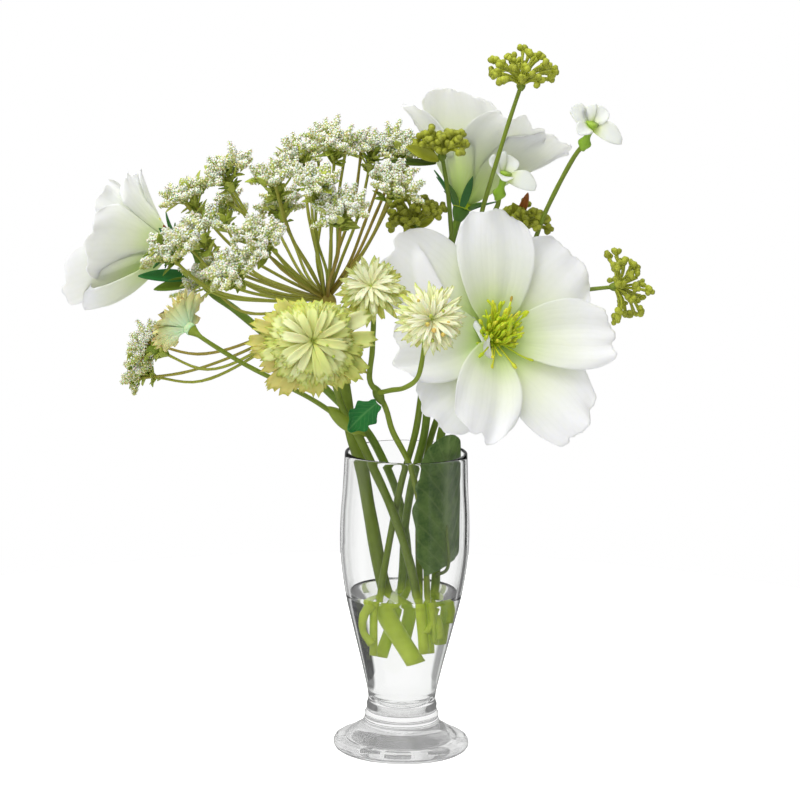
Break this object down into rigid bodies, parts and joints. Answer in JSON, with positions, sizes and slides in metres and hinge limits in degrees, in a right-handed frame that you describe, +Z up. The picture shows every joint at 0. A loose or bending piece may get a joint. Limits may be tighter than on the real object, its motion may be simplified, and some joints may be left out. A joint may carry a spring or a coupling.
{
  "type": "floral table centerpiece",
  "caption": "White and cream wildflower bouquet with lace umbels, pincushion heads and green sprays standing in a small footed glass of set clear water.",
  "frame": {"origin": "centre of the glass foot's flat underside", "axes": "+Z up, the picture looks along +Y, +X to the picture's right"},
  "size_m": [0.2883, 0.195, 0.3483],
  "materials": {
    "clear_glass": "clear polished glass",
    "set_water": "clear set resin that looks like water",
    "white_florets": "tiny white florets over olive green",
    "lace_stem": "satin olive brown",
    "white_petals": "soft white with a lime throat",
    "stamens": "yellow green",
    "bloom_stem": "satin green",
    "cream_head": "cream straps with green gold tips",
    "head_stem": "satin fresh green",
    "green_spray": "satin yellow green",
    "star_petals": "soft white",
    "dark_leaf": "mottled dark green",
    "fresh_leaf": "fresh green"
  },
  "bodies": {
    "root": {"vase": "clear_glass", "water": "set_water", "lace_stem": "lace_stem", "lace_umbellet_01": "white_florets", "lace_umbellet_02": "white_florets", "lace_umbellet_03": "white_florets", "lace_umbellet_04": "white_florets", "lace_umbellet_05": "white_florets", "lace_umbellet_06": "white_florets", "lace_umbellet_07": "white_florets", "lace_umbellet_08": "white_florets", "lace_umbellet_09": "white_florets", "lace_umbellet_10": "white_florets", "lace_umbellet_11": "white_florets", "lace_umbellet_12": "white_florets", "lace_umbellet_13": "white_florets", "lace_umbellet_14": "white_florets", "lace_umbellet_15": "white_florets", "lace_umbellet_16": "white_florets", "lace_umbellet_17": "white_florets", "lace_umbellet_18": "white_florets", "lace_umbellet_19": "white_florets", "bloom_front_petals": "white_petals", "bloom_front_centre": "stamens", "bloom_front_stem": "bloom_stem", "bloom_back_petals": "white_petals", "bloom_back_centre": "stamens", "bloom_back_stem": "bloom_stem", "bloom_left_petals": "white_petals", "bloom_left_centre": "stamens", "bloom_left_stem": "bloom_stem", "head_a": "cream_head", "head_c": "cream_head", "head_d": "cream_head", "head_e": "cream_head", "heads_left_stem": "head_stem", "heads_right_stem": "head_stem", "spray_a": "green_spray", "spray_b": "green_spray", "star_right": "star_petals", "star_middle": "star_petals", "vase_leaf": "dark_leaf", "small_leaf": "fresh_leaf"}
  },
  "joints": []
}
